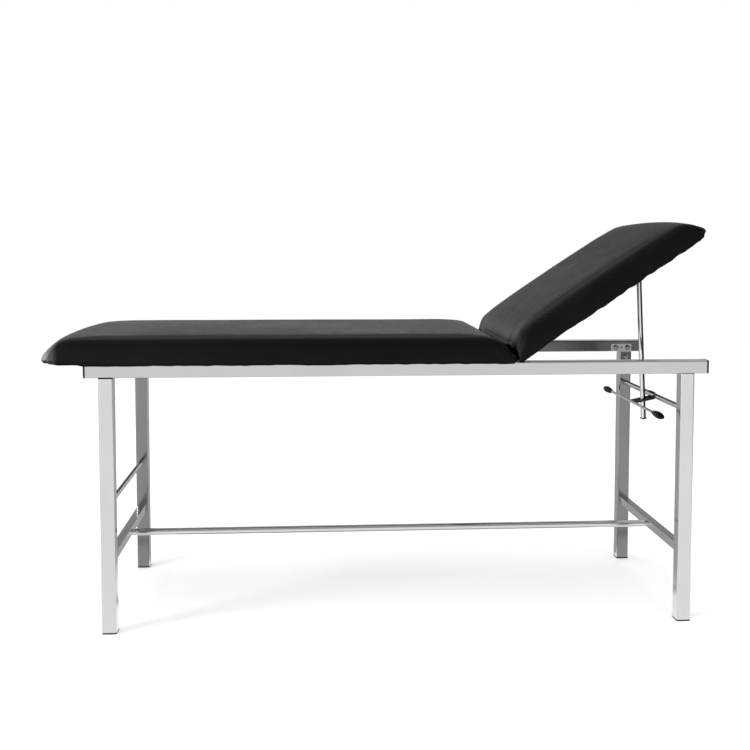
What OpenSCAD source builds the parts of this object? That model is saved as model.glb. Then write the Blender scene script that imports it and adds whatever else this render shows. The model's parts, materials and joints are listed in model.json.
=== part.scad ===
// Examination couch: tubular frame, fixed flat section, hinged backrest held
// by a support rod in a friction plate, and a release bar under the head end.
// +X points to the head end, +Z up, +Y to the far side. The origin lies on the
// floor, in the middle of the whole couch; X in the comments and values below
// is counted from the middle of the side rails.

/* [Frame] */
// Length of each side rail with its end plugs
rail_len = 1655; // [1640:1:1670]
// Width across the two side rails
frame_w = 600; // [560:5:640]
// Width of the rail tube
rail_w = 38; // [36:1:40]
// Height of the rail tube
rail_h = 36; // [34:1:40]
// Underside of the rails above the floor
rail_z = 678; // [670:1:690]
// Side of the square leg tube
leg_w = 38; // [36:1:40]
// Distance of the leg centres from the middle of the couch
leg_x = 771; // [765:1:775]
// Wall of the rail and leg tubes
tube_t = 2; // [1.5:0.5:2.5]
// Outer corner radius of the rail and leg tubes
tube_r = 4.5; // [3.5:0.5:6]
// Side of the lower cross rail tube
cross_w = 25; // [22:1:30]
// Underside of the lower cross rails above the floor
cross_z = 181; // [160:1:200]
// Diameter of the stretcher tube
stretcher_d = 20; // [18:1:22]
// Centre height of the stretcher tube
stretcher_z = 189; // [186:1:192]
// Diameter of the upper cross tubes
cross_tube_d = 15; // [14.5:0.1:15.4]
// Centre height of the foot end upper cross tube
foot_tube_z = 341; // [300:1:420]
// Centre height of the head end upper cross tube
head_tube_z = 578.7; // [572:0.1:584]

/* [Backrest linkage] */
// Hinge axis of the backrest along the couch
hinge_x = 305; // [302:0.5:308]
// Hinge axis above the top of the rails
hinge_up = 8; // [7.5:0.1:8.5]
// Angle of the backrest as drawn
rest_angle = 34; // [33:0.5:35]
// Lean of the support rod from the vertical as drawn
rod_lean = 2.8; // [2.6:0.05:3]
// Grip point from the head end cross tube, towards the foot end
grip_dx = 25.3; // [24.8:0.1:25.8]
// Grip point below the head end cross tube
grip_dz = 22.7; // [22.2:0.1:23.2]
// Diameter of the support rod
rod_d = 15; // [14:0.5:16]
// Length of the support rod below its pin
rod_len = 422.4; // [416:0.2:425]

/* [Release lever] */
// Angle of the friction plate when it grips
plate_cant = 12; // [11:0.5:13]
// Thickness of the friction plate
plate_t = 4; // [3:0.5:4]
// Width of the friction plate
plate_w = 52; // [44:2:60]
// Distance of the release bar from the cross tube
bar_reach = 61.9; // [58:0.1:66]
// Diameter of the release bar
bar_d = 8; // [7:0.5:8]
// Distance of the widest point of the far knob from the middle
knob_y = 255; // [240:1:258]
// Distance of the widest point of the near knob from the middle
near_knob_y = 241; // [235:1:258]
// Greatest diameter of the knobs
knob_d = 19.6; // [17:0.2:22]

/* [Cushions] */
// Foot end of the flat cushion from the middle of the side rails
flat_foot = 928; // [920:1:940]
// Length of the backrest cushion from the hinge axis
back_len = 617; // [610:1:625]
// Height of the flat cushion above the rails
flat_h = 73; // [68:1:78]
// Greatest height of the backrest cushion above its underside
back_h = 77; // [72:1:82]
// Width of both cushions
cushion_w = 612; // [604:1:618]
// Thickness of the boards
board_t = 15; // [12:1:16]
// Thickness of the vinyl
cover_t = 1.3; // [1:0.1:1.5]

/* [Hidden] */

$fn = 64;
over = 1;                                // overshoot of cutting shapes
lap = 0.5;                               // overlap of joined shapes

steel = [0.76, 0.76, 0.77];
dark_steel = [0.16, 0.16, 0.17];
black = [0.06, 0.06, 0.065];
vinyl = [0.05, 0.05, 0.055];
wood = [0.72, 0.56, 0.38];
cream = [0.86, 0.82, 0.66];
zinc = [0.66, 0.67, 0.68];

rail_top = rail_z + rail_h;
rail_in = frame_w/2 - rail_w;            // inner faces of the rails
rail_y = frame_w/2 - rail_w/2;
leg_y = frame_w/2 - leg_w/2;
leg_in = frame_w/2 - leg_w;              // inner faces of the legs
seat_gap = 0.2;                          // between vinyl and rails
vinyl_z = rail_top + seat_gap;           // underside of the vinyl
board_z = vinyl_z + cover_t;             // underside of the boards

// Bolts, as radii
large_bolt_r = 4;
small_bolt_r = 3;
thread_gap = 0.1;
hole_gap = 0.2;
large_hole_r = large_bolt_r + hole_gap;
small_hole_r = small_bolt_r + hole_gap;

// ---- plane geometry -------------------------------------------------------
function turn(p, angle) = [
    p.x*cos(angle) - p.y*sin(angle),
    p.x*sin(angle) + p.y*cos(angle)
];
function unit(v) = v/norm(v);
// unit normal to the left of the way from one point to the next
function left(from, to) = let (u = unit(to - from)) [-u.y, u.x];
// a closed counter-clockwise outline moved inwards by depth; sharp mitres are limited
function inset(points, depth) =
    let (n = len(points))
    [for (i = [0:n - 1])
        let (
            before = left(points[(i + n - 1)%n], points[i]),
            after = left(points[i], points[(i + 1)%n]),
            mitre = unit(before + after)
        )
        points[i] + depth/max(0.35, mitre*before)*mitre];
// points first to n of a superellipse arc with n steps; power 2 is an ellipse
function arc(centre, radii, from, to, n, power = 2, first = 0) =
    [for (i = [first:n])
        let (angle = from + (to - from)*i/n, c = cos(angle), s = sin(angle))
        centre + [radii.x*sign(c)*pow(abs(c), 2/power), radii.y*sign(s)*pow(abs(s), 2/power)]];
// quadratic Bezier curve in n steps
function bend(start, control, end, n) =
    [for (i = [0:n])
        let (t = i/n)
        (1 - t)*(1 - t)*start + 2*t*(1 - t)*control + t*t*end];

// ---- backrest linkage, points in X and Z ----------------------------------
hinge_z = rail_top + hinge_up;
hinge_axis = [hinge_x, hinge_z];
grip_point = [leg_x - grip_dx, head_tube_z - grip_dz];
rod_up = [-sin(rod_lean), cos(rod_lean)];
// hinge, grip point and rod pin form an isosceles triangle with its apex at the hinge
pin_rise = -2*(rod_up*(grip_point - hinge_axis));
rod_pin = grip_point + pin_rise*rod_up;
flat_pin = hinge_axis + turn(rod_pin - hinge_axis, -rest_angle);   // with the backrest flat

// ---- shared solids --------------------------------------------------------
// brings the middle of the whole couch to the origin
module home() { translate([(flat_foot - rail_len/2)/2, 0, 0]) children(); }
// flat profile in X and Z, extruded from y0 to y1
module along_y(y0, y1) {
    translate([0, y1, 0]) rotate([90, 0, 0]) linear_extrude(y1 - y0) children();
}
// flat profile in Y and Z, extruded from x0 to x1
module along_x(x0, x1) {
    translate([x0, 0, 0]) rotate([90, 0, 90]) linear_extrude(x1 - x0) children();
}
// flat profile in X and Y, extruded from z0 to z1
module along_z(z0, z1) { translate([0, 0, z0]) linear_extrude(z1 - z0) children(); }
// cylinders along each axis; at holds the other two coordinates
module rod_x(at, r, x0, x1) {
    translate([x0, at[0], at[1]]) rotate([0, 90, 0]) cylinder(h = x1 - x0, r = r);
}
module rod_y(at, r, y0, y1) {
    translate([at[0], y1, at[1]]) rotate([90, 0, 0]) cylinder(h = y1 - y0, r = r);
}
module rod_z(at, r, z0, z1) { translate([at[0], at[1], z0]) cylinder(h = z1 - z0, r = r); }
// hexagonal prism along Y, given its width across flats
module hex_y(at, flats, y0, y1) { rod_y(at, flats/sqrt(3), y0, y1, $fn = 6); }
// cutters for holes along Y right through a wall from y0 to y1
module drill_y(points, r, y0, y1) { for (p = points) rod_y(p, r, y0 - over, y1 + over); }
module drill_z(points, r, z0, z1) { for (p = points) rod_z(p, r, z0, z1); }
module both_sides() {
    children();
    mirror([0, 1, 0]) children();
}
module both_ends() {
    children();
    mirror([1, 0, 0]) children();
}
module round_rect(w, h, r) {
    square([w - 2*r, h], center = true);
    square([w, h - 2*r], center = true);
    for (sx = [-1, 1], sy = [-1, 1]) translate([sx*(w/2 - r), sy*(h/2 - r)]) circle(r = r);
}
module tube_section(w, h, r, t) difference() {
    round_rect(w, h, r);
    round_rect(w - 2*t, h - 2*t, max(r - t, 0.8));
}
// part of a plug that fits inside a rail or leg tube
module tongue_section(w, h) { round_rect(w - 2*tube_t - 0.2, h - 2*tube_t - 0.2, 2.4); }
module nut(at, flats, bore_r, height) difference() {
    hex_y(at, flats, rail_in + tube_t, rail_in + tube_t + height);
    drill_y([at], bore_r, rail_in + tube_t, rail_in + tube_t + height);
}
// domed bolt with a hexagon socket, its head towards -Y from the face at y
module dome_bolt(at, y, shank_r, head_d, head_h, length, socket) {
    dome_r = (head_d*head_d/4 + head_h*head_h)/(2*head_h);
    difference() {
        union() {
            rod_y(at, shank_r, y - lap, y + length);
            intersection() {
                translate([at[0], y - head_h + dome_r, at[1]]) rotate([90, 0, 0]) sphere(r = dome_r);
                rod_y(at, head_d/2 + 1, y - head_h - over, y);
            }
        }
        hex_y(at, socket, y - head_h - over, y - head_h*0.35);
    }
}
// upright screws at points in X and Y, their heads below z
module wood_screws(points, z, r, head_r, head_h, length) {
    for (p = points) {
        rod_z(p, head_r, z - head_h, z);
        rod_z(p, r, z - 0.2, z + length);
    }
}

// turns parts drawn with the backrest flat to its angle
module on_backrest() {
    translate([hinge_x, 0, hinge_z]) rotate([0, -rest_angle, 0])
        translate([-hinge_x, 0, -hinge_z]) children();
}
// origin at the rod pin, +Z up the rod
module on_rod() { translate([rod_pin.x, 0, rod_pin.y]) rotate([0, -rod_lean, 0]) children(); }
// origin on the head end cross tube's axis, -X towards the release bar
module on_lever() { translate([leg_x, 0, head_tube_z]) rotate([0, -plate_cant, 0]) children(); }

// ---- rails and legs -------------------------------------------------------
// bolt and nut places in X and Z
rail_bolts = [[leg_x - 32, rail_z + 13.5], [leg_x + 6, rail_z + 13.5]];
leg_bolt = [leg_x + 1.6, rail_z - 16.5];
bracket_bolts = concat(rail_bolts, [leg_bolt]);
hinge_bolts = [for (dx = [40, 20]) [hinge_x - dx, rail_z + 19]];

plug_t = 5;                              // rim of a rail end plug
rail_tongue = 14;
rim_t = 2;                               // rim of a foot end leg plug
foot_plug_tongue = 5;
head_plug_tongue = 7;
cap_t = 4;                               // sole of a foot cap
cap_tongue = 12;
rail_end = rail_len/2 - plug_t;          // end of the bare rail tube

module side_rail() difference() {
    translate([0, rail_y, rail_z + rail_h/2])
        along_x(-rail_end, rail_end) tube_section(rail_w, rail_h, tube_r, tube_t);
    both_ends() drill_y(rail_bolts, large_hole_r, rail_in, rail_in + tube_t);
    drill_y(hinge_bolts, small_hole_r, rail_in, rail_in + tube_t);
}
module near_side_rail() color(steel) home() mirror([0, 1, 0]) side_rail();
module far_side_rail() color(steel) home() side_rail();

module rail_end_plugs() color(black) home() both_sides() both_ends()
    translate([0, rail_y, rail_z + rail_h/2]) {
        along_x(rail_end, rail_len/2) round_rect(rail_w, rail_h, tube_r);
        along_x(rail_end - rail_tongue, rail_end + lap) tongue_section(rail_w, rail_h);
    }

module at_leg() { translate([leg_x, leg_y, 0]) children(); }
// leg at the far side of the head end, with the hole for its upper cross tube
module leg(top, tube_z) difference() {
    at_leg() along_z(cap_t, top) tube_section(leg_w, leg_w, tube_r, tube_t);
    drill_y([leg_bolt], large_hole_r, leg_in, leg_in + tube_t);
    drill_y([[leg_x, tube_z]], cross_tube_d/2 + 0.05, leg_in, leg_in + tube_t);
}
module foot_leg() mirror([1, 0, 0]) leg(rail_z - rim_t, foot_tube_z);
module head_leg() leg(rail_z, head_tube_z);
module foot_near_leg() color(steel) home() mirror([0, 1, 0]) foot_leg();
module foot_far_leg() color(steel) home() foot_leg();
module head_near_leg() color(steel) home() mirror([0, 1, 0]) head_leg();
module head_far_leg() color(steel) home() head_leg();

module leg_top_plugs() color(black) home() both_sides() {
    foot_top = rail_z - rim_t;
    mirror([1, 0, 0]) at_leg() {
        along_z(foot_top, rail_z) round_rect(leg_w, leg_w, tube_r);
        along_z(foot_top - foot_plug_tongue, foot_top + lap) tongue_section(leg_w, leg_w);
    }
    at_leg() along_z(rail_z - head_plug_tongue, rail_z) tongue_section(leg_w, leg_w);
}
module leg_foot_caps() color(black) home() both_sides() both_ends() at_leg() {
    along_z(0, cap_t) round_rect(leg_w, leg_w, tube_r);
    along_z(cap_t - lap, cap_t + cap_tongue) tongue_section(leg_w, leg_w);
}

// ---- cross tubes and stretcher --------------------------------------------
cross_tube_t = 1.5;
stretcher_t = 2;
insert_len = 20;
stretcher_end = leg_x - cross_w/2;
stretcher_axis = [0, stretcher_z];       // Y and Z

module cross_tube(x, z) difference() {
    half_len = leg_in + tube_t;
    rod_y([x, z], cross_tube_d/2, -half_len, half_len);
    drill_y([[x, z]], cross_tube_d/2 - cross_tube_t, -half_len, half_len);
}
module foot_upper_cross_tube() color(steel) home() cross_tube(-leg_x, foot_tube_z);
module head_upper_cross_tube() color(steel) home() cross_tube(leg_x, head_tube_z);

module lower_cross_rail() difference() {
    translate([leg_x, 0, cross_z + cross_w/2])
        along_y(-leg_in, leg_in) tube_section(cross_w, cross_w, 3, 1.5);
    rod_x(stretcher_axis, large_hole_r, stretcher_end - over, stretcher_end + cross_w + over);
}
module foot_lower_cross_rail() color(steel) home() mirror([1, 0, 0]) lower_cross_rail();
module head_lower_cross_rail() color(steel) home() lower_cross_rail();

module stretcher_tube() color(steel) home() difference() {
    rod_x(stretcher_axis, stretcher_d/2, -stretcher_end, stretcher_end);
    rod_x(stretcher_axis, stretcher_d/2 - stretcher_t, -stretcher_end - over, stretcher_end + over);
}
module stretcher_inserts() color(zinc) home() both_ends() difference() {
    x0 = stretcher_end - insert_len;
    rod_x(stretcher_axis, stretcher_d/2 - stretcher_t - 0.05, x0, stretcher_end);
    rod_x(stretcher_axis, large_bolt_r + thread_gap, x0 - over, stretcher_end + over);
}
module stretcher_bolts() color(zinc) home() both_ends() {
    head_x = stretcher_end + cross_w;
    rod_x(stretcher_axis, large_bolt_r, stretcher_end - 18, head_x + lap);
    rod_x(stretcher_axis, 13/sqrt(3), head_x, head_x + 5.3, $fn = 6);
}

// ---- brackets between legs and rails --------------------------------------
bracket_t = 3;
spare_hole = [leg_x - 14, rail_z + 13];  // bracket hole without a bolt
large_nut_h = 6.5;
small_nut_h = 5;
bolt_tip = 1;                            // bolt end beyond its nut
hinge_plate_t = 4;

module leg_brackets() color(steel) home() both_sides() both_ends() difference() {
    along_y(rail_in - bracket_t, rail_in) {
        translate([leg_x - 15.5, rail_z + 13]) round_rect(67, 24, 5);
        translate([leg_x + 1.5, rail_z - 12]) round_rect(33, 52, 3);
    }
    drill_y(bracket_bolts, large_hole_r, rail_in - bracket_t, rail_in);
    drill_y([spare_hole], 3.3, rail_in - bracket_t, rail_in);
}
module leg_bracket_bolts() color(steel) home() both_sides() both_ends()
    for (p = bracket_bolts)
        dome_bolt(p, rail_in - bracket_t, shank_r = large_bolt_r, head_d = 18, head_h = 5.2,
                  length = bracket_t + tube_t + large_nut_h + bolt_tip, socket = 5);
module weld_nuts() color(zinc) home() both_sides() {
    both_ends() for (p = bracket_bolts) nut(p, 13, large_bolt_r + thread_gap, large_nut_h);
    for (p = hinge_bolts) nut(p, 10, small_bolt_r + thread_gap, small_nut_h);
}

// ---- board supports -------------------------------------------------------
angle_w = 30;                            // both flanges of the angle bars
angle_t = 3;
support_xs = [-700, -240, 212];          // foot side faces of the angle bars
support_screws = [for (x = support_xs, y = [-180, 0, 180]) [x + 18, y]];

module board_support_bars() color(steel) home() difference() {
    for (x = support_xs) along_y(-rail_in, rail_in) {
        translate([x, vinyl_z - angle_w]) square([angle_t, angle_w]);
        translate([x, vinyl_z - angle_t]) square([angle_w, angle_t]);
    }
    drill_z(support_screws, 2.8, vinyl_z - angle_t - over, vinyl_z + over);
}
module mattress_board_screws() color(zinc) home()
    wood_screws(support_screws, vinyl_z - angle_t, r = 2.5, head_r = 4.8, head_h = 2.6, length = 15);

// ---- hinges ---------------------------------------------------------------
hinge_pin_r = 4;
hinge_plate_in = rail_in - hinge_plate_t;    // inner face of the hinge bracket
leaf_out = hinge_plate_in - 0.3;             // faces of the upright leaf
leaf_in = leaf_out - 4;
leaf_end = hinge_x + 125;
flange_t = 3.5;                              // flange under the board
flange_in = rail_in - 36;
flange_z = vinyl_z - flange_t;
leaf_screws = [for (dx = [35, 70, 105]) [hinge_x + dx, rail_in - 28]];
// outlines in X and Z
hinge_bracket_side = [
    [hinge_x - 52, rail_z + 8], [hinge_x - 8, rail_z + 8],
    [hinge_x + 8, rail_top + 2], [hinge_x + 8, hinge_z], [hinge_x - 8, hinge_z],
    [hinge_x - 8, rail_top - 4], [hinge_x - 52, rail_top - 4]
];
leaf_side = [
    [hinge_x - 5.4, hinge_z - 5], [hinge_x - 2, hinge_z - 16], [hinge_x + 7, hinge_z - 20],
    [leaf_end, hinge_z - 18], [leaf_end, vinyl_z],
    [hinge_x + 8.5, vinyl_z], [hinge_x + 6, hinge_z - 4.3]
];

module hinge_brackets() color(steel) home() both_sides() difference() {
    along_y(hinge_plate_in, rail_in) {
        polygon(hinge_bracket_side);
        translate(hinge_axis) circle(r = 8);
    }
    drill_y([hinge_axis], hinge_pin_r + 0.03, hinge_plate_in, rail_in);
    drill_y(hinge_bolts, small_hole_r, hinge_plate_in, rail_in);
}
module hinge_bracket_bolts() color(zinc) home() both_sides()
    for (p = hinge_bolts)
        dome_bolt(p, hinge_plate_in, shank_r = small_bolt_r, head_d = 10.5, head_h = 3.3,
                  length = hinge_plate_t + tube_t + small_nut_h + bolt_tip, socket = 4);
module hinge_pins() color(zinc) home() both_sides() {
    rod_y(hinge_axis, hinge_pin_r, leaf_in - 0.4, rail_in);
    rod_y(hinge_axis, 6, leaf_in - 3.4, leaf_in - 0.3);
}
module hinge_leaves() color(zinc) home() on_backrest() both_sides() difference() {
    union() {
        along_y(leaf_in, leaf_out) {
            translate(hinge_axis) circle(r = 7.5);
            polygon(leaf_side);
        }
        translate([leaf_end - 108, flange_in, flange_z]) cube([108, leaf_in + 1 - flange_in, flange_t]);
    }
    drill_y([hinge_axis], hinge_pin_r + 0.06, leaf_in, leaf_out);
    drill_z(leaf_screws, 2.4, flange_z - over, vinyl_z + over);
}
module hinge_leaf_screws() color(zinc) home() on_backrest() both_sides()
    wood_screws(leaf_screws, flange_z, r = 2.2, head_r = 4, head_h = 2.4, length = 15);

// ---- cushion outlines -----------------------------------------------------
hinge_gap = 11;                          // cushion ends from the hinge axis
flat_nose = 85;                          // length of the rounded foot end
back_nose = 100;                         // length of the rounded head end
crown_end = 150;                         // where the backrest top starts to fall
// side outline of the flat cushion, in X and height above the rails
flat_side = concat(
    [[hinge_x - hinge_gap, seat_gap], [hinge_x - hinge_gap, 9]],
    bend([hinge_x - 56.5, 57], [hinge_x - 71, flat_h], [hinge_x - 100, flat_h], 8),
    arc([-flat_foot + flat_nose, 16], [flat_nose, flat_h - 16], 90, 180, 16, power = 1.7),
    arc([-flat_foot + 15, 16], [15, 16 - seat_gap], 180, 270, 6, first = 1)
);
// side outline of the backrest cushion, in X from the hinge axis and height above the rails
function back_top(x) = back_h - 16*pow(max(0, x - crown_end)/380, 2);
nose_x = back_len - back_nose;
// ellipse that rounds the hinge end, cut off at the hinge gap
round_x = 114;
round_len = 110;
round_cut = asin((round_x - hinge_gap)/round_len);
back_side = concat(
    [[hinge_gap, seat_gap]],
    arc([back_len - 12, 10], [12, 10 - seat_gap], 270, 360, 5),
    arc([nose_x, 10], [back_nose, back_top(nose_x) - 10], 0, 90, 12, first = 1),
    [for (i = [1:9]) let (x = nose_x - (nose_x - crown_end)*i/9) [x, back_top(x)]],
    arc([round_x, 0], [round_len, back_h], 90, 90 + round_cut, 12)
);
// cross outline of a cushion of a given height, in Y and height above the rails;
// it is a little taller than the side outline, so that one sets the top
function cross_outline(height) =
    let (
        w = cushion_w/2,
        low = [10, 16 - seat_gap],
        high = [36, height + 0.5 - 22]
    )
    concat(
        [[-w + 10, seat_gap], [w - 10, seat_gap]],
        arc([w - 10, 16], low, 270, 360, 4, first = 1),
        arc([w - 36, 22], high, 0, 90, 9),
        arc([-w + 36, 22], high, 90, 180, 9),
        arc([-w + 10, 16], low, 180, 247.5, 3)
    );

// ---- boards, foam and vinyl -----------------------------------------------
flat_span = [-flat_foot + 23, hinge_x - 27];                 // X of the board ends
back_span = [hinge_x + 13, hinge_x + back_len - 17];
board_y = cushion_w/2 - 18;
turn_in = 45;                            // width of the vinyl under the board edges
foam_gap = 0.1;

module board(span) {
    translate([span[0], -board_y, board_z]) cube([span[1] - span[0], 2*board_y, board_t]);
}
// cushion body inset by depth; x is where the side outline starts counting
module pad(side, height, x, depth) intersection() {
    translate([x, 0, rail_top])
        along_y(-cushion_w/2 - 5, cushion_w/2 + 5) polygon(inset(side, depth));
    translate([0, 0, rail_top])
        along_x(-flat_foot - 5, hinge_x + back_len + 5) polygon(inset(cross_outline(height), depth));
}
module pad_cover(side, height, x, span) difference() {
    window_y = board_y - turn_in;
    pad(side, height, x, 0);
    pad(side, height, x, cover_t);
    translate([span[0] + turn_in, -window_y, rail_top - 2])
        cube([span[1] - span[0] - 2*turn_in, 2*window_y, 2 + seat_gap + cover_t + 0.5]);
}
module pad_foam(side, height, x, span) difference() {
    pad(side, height, x, cover_t + foam_gap);
    translate([span[0] - foam_gap, -board_y - foam_gap, rail_top - 5])
        cube([span[1] - span[0] + 2*foam_gap, 2*board_y + 2*foam_gap,
              5 + seat_gap + cover_t + board_t + foam_gap]);
}
module mattress_board() color(wood) home() difference() {
    board(flat_span);
    drill_z(support_screws, 2.6, board_z - over, board_z + 11.5);
}
module mattress_foam() color(cream) home() pad_foam(flat_side, flat_h, 0, flat_span);
module mattress_cover() color(vinyl) home() pad_cover(flat_side, flat_h, 0, flat_span);

module backrest_board() color(wood) home() on_backrest() difference() {
    board(back_span);
    both_sides() drill_z(leaf_screws, 2.3, board_z - over, board_z + 11);
    drill_z(clevis_screws, 2.6, board_z - over, board_z + 12);
}
module backrest_foam() color(cream) home() on_backrest()
    pad_foam(back_side, back_h, hinge_x, back_span);
module backrest_cover() color(vinyl) home() on_backrest() difference() {
    pad_cover(back_side, back_h, hinge_x, back_span);
    both_sides() drill_z(leaf_screws, 2.4, vinyl_z - 2, board_z + 2);
}

// ---- support rod and its clevis -------------------------------------------
clevis_w = 60;
clevis_t = 3.5;
clevis_z = board_z - clevis_t;
cheek_y = 7;                             // middle of each cheek
cheek_t = 4;
clevis_out = cheek_y + cheek_t/2;        // outer faces of the cheeks
clevis_pin_r = 4;
clevis_screws = [for (dx = [-22, 22], y = [-22, 22]) [flat_pin.x + dx, y]];
eye_r = 9;                               // upper end of the rod
eye_y = 4.8;                             // half its thickness
stop_washer_t = 2.5;
stop_dome_r = 5.9;
washer_z = -rod_len - stop_washer_t;     // underside of the stop washer
on_axis = [0, 0];

module rod_clevis() color(zinc) home() on_backrest() difference() {
    union() {
        translate([flat_pin.x - clevis_w/2, -clevis_w/2, clevis_z])
            cube([clevis_w, clevis_w, clevis_t]);
        for (y = [-cheek_y, cheek_y]) along_y(y - cheek_t/2, y + cheek_t/2) {
            polygon([
                [flat_pin.x - 25, clevis_z + lap], [flat_pin.x - 9, flat_pin.y],
                [flat_pin.x + 9, flat_pin.y], [flat_pin.x + 25, clevis_z + lap]
            ]);
            translate(flat_pin) circle(r = 9);
        }
    }
    drill_y([flat_pin], clevis_pin_r + 0.03, -clevis_out, clevis_out);
    drill_z(clevis_screws, 2.8, clevis_z - over, board_z + over);
}
module rod_clevis_screws() color(zinc) home() on_backrest()
    wood_screws(clevis_screws, clevis_z, r = 2.5, head_r = 4.8, head_h = 2.6, length = 14);
module clevis_pin() color(zinc) home() on_backrest() {
    rod_y(flat_pin, clevis_pin_r, -clevis_out - 0.5, clevis_out + 3);
    rod_y(flat_pin, 6, -clevis_out - 3.2, -clevis_out - 0.2);
}
module clevis_pin_ring() color(dark_steel) home() on_backrest() difference() {
    rod_y(flat_pin, 6.2, clevis_out + 0.3, clevis_out + 1.3);
    rod_y(flat_pin, clevis_pin_r + 0.05, clevis_out, clevis_out + 1.6);
}
module support_rod() color(steel) home() on_rod() difference() {
    union() {
        rod_y(on_axis, eye_r, -eye_y, eye_y);
        translate([-rod_d/2, -eye_y, -12]) cube([rod_d, 2*eye_y, 12]);
        rod_z(on_axis, rod_d/2, -rod_len, -11);
    }
    drill_y([on_axis], clevis_pin_r + 0.06, -eye_y, eye_y);
    rod_z(on_axis, small_bolt_r + 0.05, -rod_len - over, -rod_len + 16);
}
module rod_stop_washer() color(dark_steel) home() on_rod() difference() {
    rod_z(on_axis, 9.8, washer_z, -rod_len);
    rod_z(on_axis, small_hole_r, washer_z - over, -rod_len + over);
}
module rod_stop_screw() color(dark_steel) home() on_rod() difference() {
    union() {
        rod_z(on_axis, small_bolt_r, -rod_len - 3, -rod_len + 14);
        intersection() {
            translate([0, 0, washer_z - 3.2 + stop_dome_r]) sphere(r = stop_dome_r);
            rod_z(on_axis, 7, washer_z - 4, washer_z);
        }
    }
    rod_z(on_axis, 4/sqrt(3), washer_z - 4, washer_z - 1.6, $fn = 6);
}

// ---- release lever --------------------------------------------------------
sleeve_r = cross_tube_d/2 + 0.06;        // inside of the sleeve on the cross tube
sleeve_w = 32;
sleeve_t = 2;
slot_r = rod_d/2 + 0.5;
slot_x0 = -37.6 + slot_r;                // centres of the round slot ends
slot_x1 = -13.4 - slot_r;
plate_z = -sleeve_r - plate_t;           // underside of the plate
bar_axis = [-bar_reach, -sleeve_r - plate_t/2];
bar_bore_r = bar_d/2 + 0.03;
knob_in = 52;                            // widest point to the inner end
knob_out = 34;                           // widest point to the outer end
bar_grip = 30;                           // length of the bar inside a knob

module friction_plate() color(dark_steel) home() on_lever() difference() {
    union() {
        along_y(-plate_w/2, plate_w/2)
            translate([-bar_reach, plate_z]) square([bar_reach, plate_t - 0.04]);
        // sleeve, open on the -X side from straight down to 30 degrees short of straight up
        along_y(-sleeve_w/2, sleeve_w/2) difference() {
            circle(r = sleeve_r + sleeve_t);
            circle(r = sleeve_r);
            polygon([[0, 0], [-30, 30*sqrt(3)], [-60, 0], [-60, -30], [0, -30]]);
        }
    }
    drill_y([bar_axis], bar_bore_r, -plate_w/2, plate_w/2);
    along_z(plate_z - over, -sleeve_r + over) {
        for (x = [slot_x0, slot_x1]) translate([x, 0]) circle(r = slot_r);
        translate([slot_x0, -slot_r]) square([slot_x1 - slot_x0, 2*slot_r]);
    }
}
module release_bar() color(steel) home() on_lever()
    rod_y(bar_axis, bar_d/2, -near_knob_y + knob_in - bar_grip, knob_y - knob_in + bar_grip);

// half outline of an egg from its widest point to a rounded tip
module egg_half(length, radius, tip_r) {
    tip_y = length - tip_r;
    side_r = (tip_y*tip_y + radius*radius - tip_r*tip_r)/(2*(radius - tip_r));
    intersection() {
        translate([radius - side_r, 0]) circle(r = side_r, $fn = 360);
        square([radius, tip_y*side_r/(side_r - tip_r)]);
    }
    intersection() {
        translate([0, tip_y]) circle(r = tip_r);
        translate([0, tip_y]) square([tip_r, tip_r]);
    }
}
module knob(y) difference() {
    translate([bar_axis.x, y, bar_axis.y]) rotate([-90, 0, 0]) rotate_extrude() {
        egg_half(knob_out, knob_d/2, 6.2);
        mirror([0, 1]) egg_half(knob_in, knob_d/2, 5.4);
    }
    rod_y(bar_axis, bar_bore_r, y - knob_in - over, y - knob_in + bar_grip + 0.5);
}
module near_knob() color(black) home() on_lever() mirror([0, 1, 0]) knob(near_knob_y);
module far_knob() color(black) home() on_lever() knob(knob_y);

near_side_rail();
far_side_rail();
rail_end_plugs();
foot_near_leg();
foot_far_leg();
head_near_leg();
head_far_leg();
leg_top_plugs();
leg_foot_caps();
foot_upper_cross_tube();
head_upper_cross_tube();
foot_lower_cross_rail();
head_lower_cross_rail();
stretcher_tube();
stretcher_inserts();
stretcher_bolts();
leg_brackets();
leg_bracket_bolts();
weld_nuts();
board_support_bars();
hinge_brackets();
hinge_bracket_bolts();
hinge_pins();
mattress_board();
mattress_board_screws();
mattress_foam();
mattress_cover();
backrest_board();
backrest_foam();
backrest_cover();
hinge_leaves();
hinge_leaf_screws();
rod_clevis();
rod_clevis_screws();
clevis_pin();
clevis_pin_ring();
support_rod();
rod_stop_washer();
rod_stop_screw();
friction_plate();
release_bar();
near_knob();
far_knob();
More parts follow.
